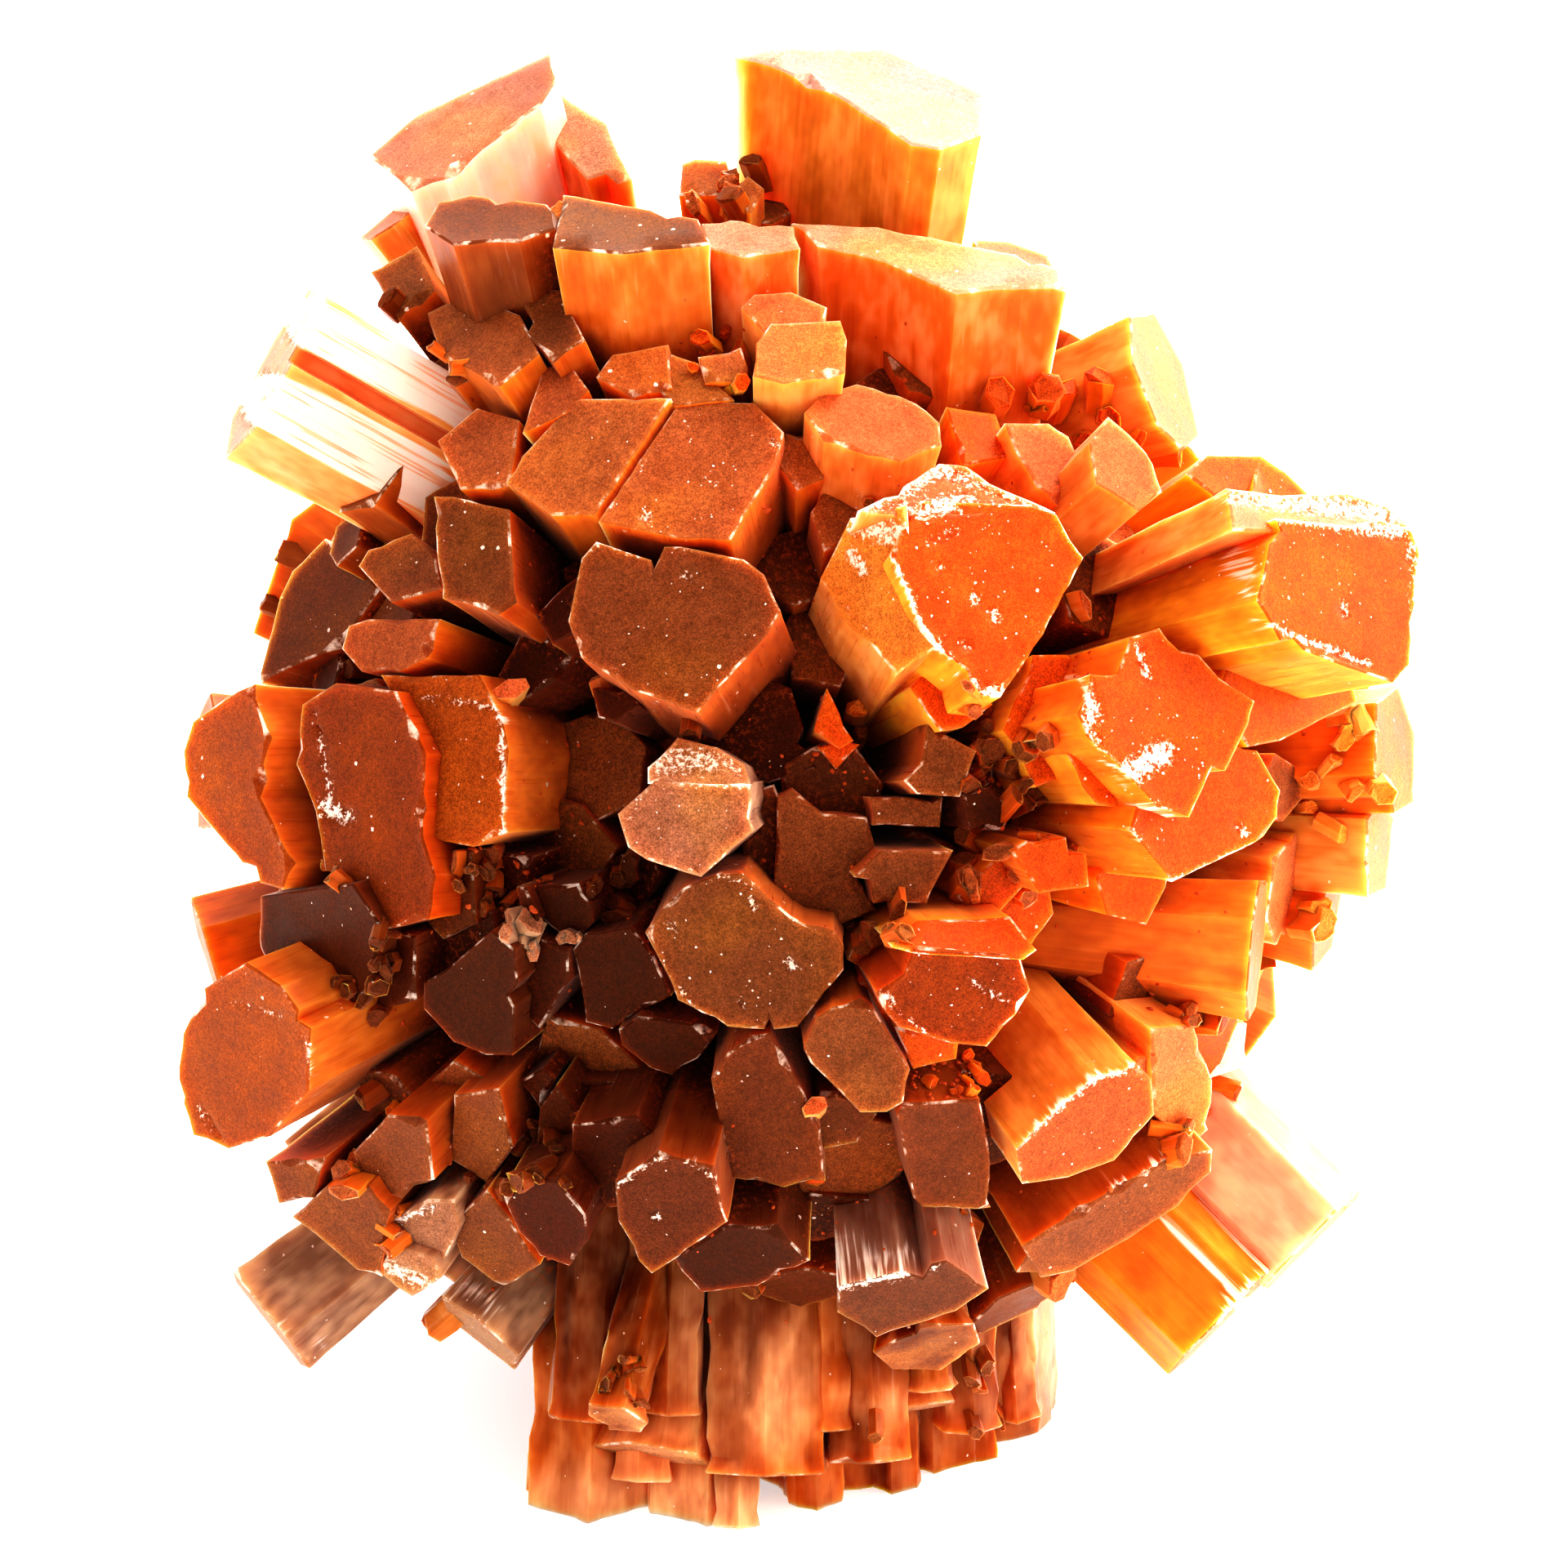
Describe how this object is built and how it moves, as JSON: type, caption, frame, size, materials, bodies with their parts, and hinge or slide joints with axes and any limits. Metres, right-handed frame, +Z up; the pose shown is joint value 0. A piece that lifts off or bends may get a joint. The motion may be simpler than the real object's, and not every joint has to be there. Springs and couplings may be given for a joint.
{
  "type": "aragonite sputnik cluster",
  "caption": "Ball of flat-ended, six-sided and twinned orange-brown crystals radiating from one core, standing on its lowest crystal ends.",
  "frame": {"origin": "on the floor, in the middle of the lowest crystal's flat end, straight below the middle of the core", "axes": "+Z up, -Y toward the cluster's front, +X to the right as seen from the front"},
  "size_m": [0.0377, 0.0392, 0.0421],
  "materials": {
    "aragonite": "translucent, satin to glossy crystal faces"
  },
  "bodies": {
    "root": {"aragonite_cluster": "aragonite"}
  },
  "joints": []
}
